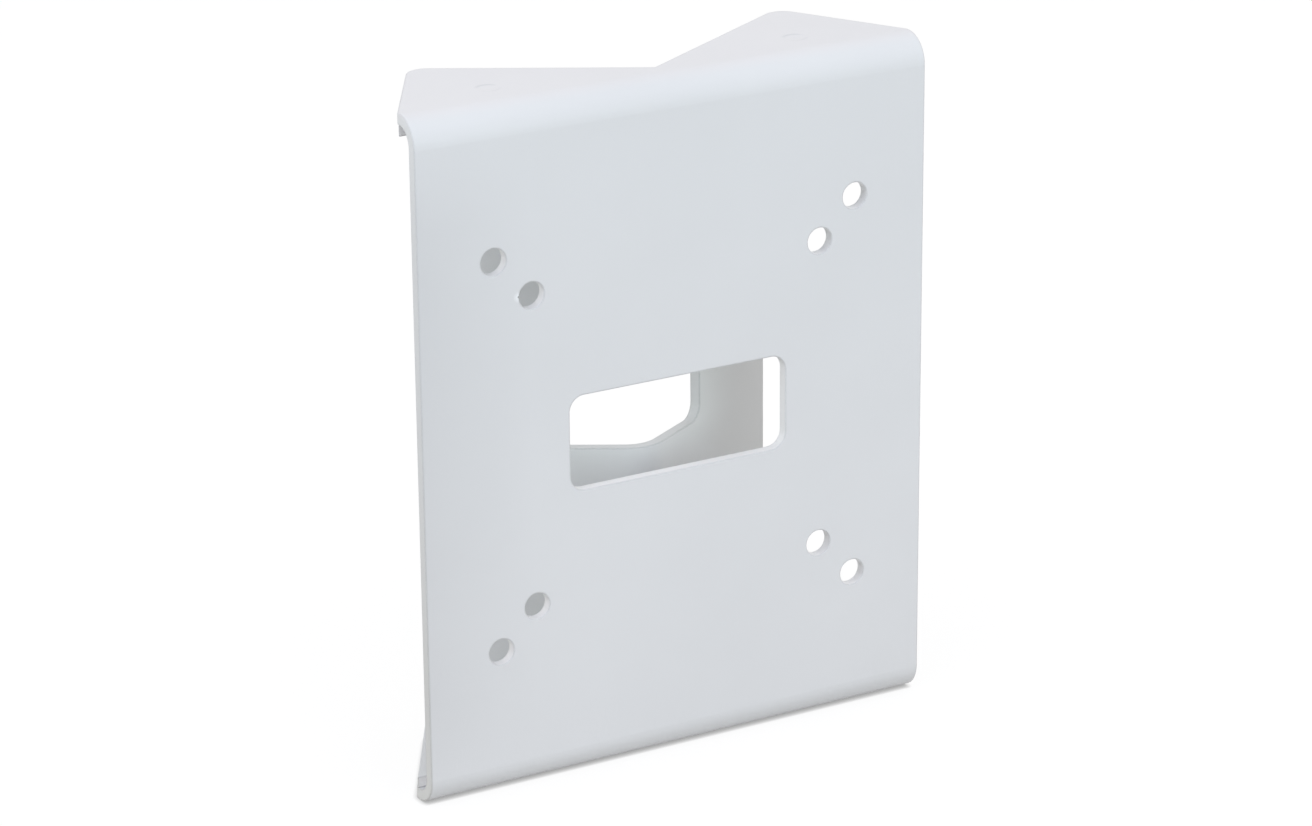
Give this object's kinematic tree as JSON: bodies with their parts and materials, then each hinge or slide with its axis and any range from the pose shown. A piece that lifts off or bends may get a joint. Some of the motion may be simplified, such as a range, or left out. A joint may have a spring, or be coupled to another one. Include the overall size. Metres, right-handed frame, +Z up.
{
  "type": "camera pole mount bracket",
  "caption": "White folded steel plate with square hole patterns and a cable window, spot welded to a V-shaped back that straps to a round pole.",
  "frame": {"origin": "centre of both camera hole patterns, on the front plate's front face", "axes": "+Z up along the pole, -Y out of the front face towards the camera, +X to the right seen from the front"},
  "size_m": [0.14, 0.0455, 0.1752],
  "materials": {
    "powder_coat": "satin white powder coat on folded steel sheet",
    "powder_coat_back": "satin white powder coat on folded steel sheet"
  },
  "bodies": {
    "root": {"face_plate": "powder_coat", "v_back_plate": "powder_coat_back"}
  },
  "joints": []
}
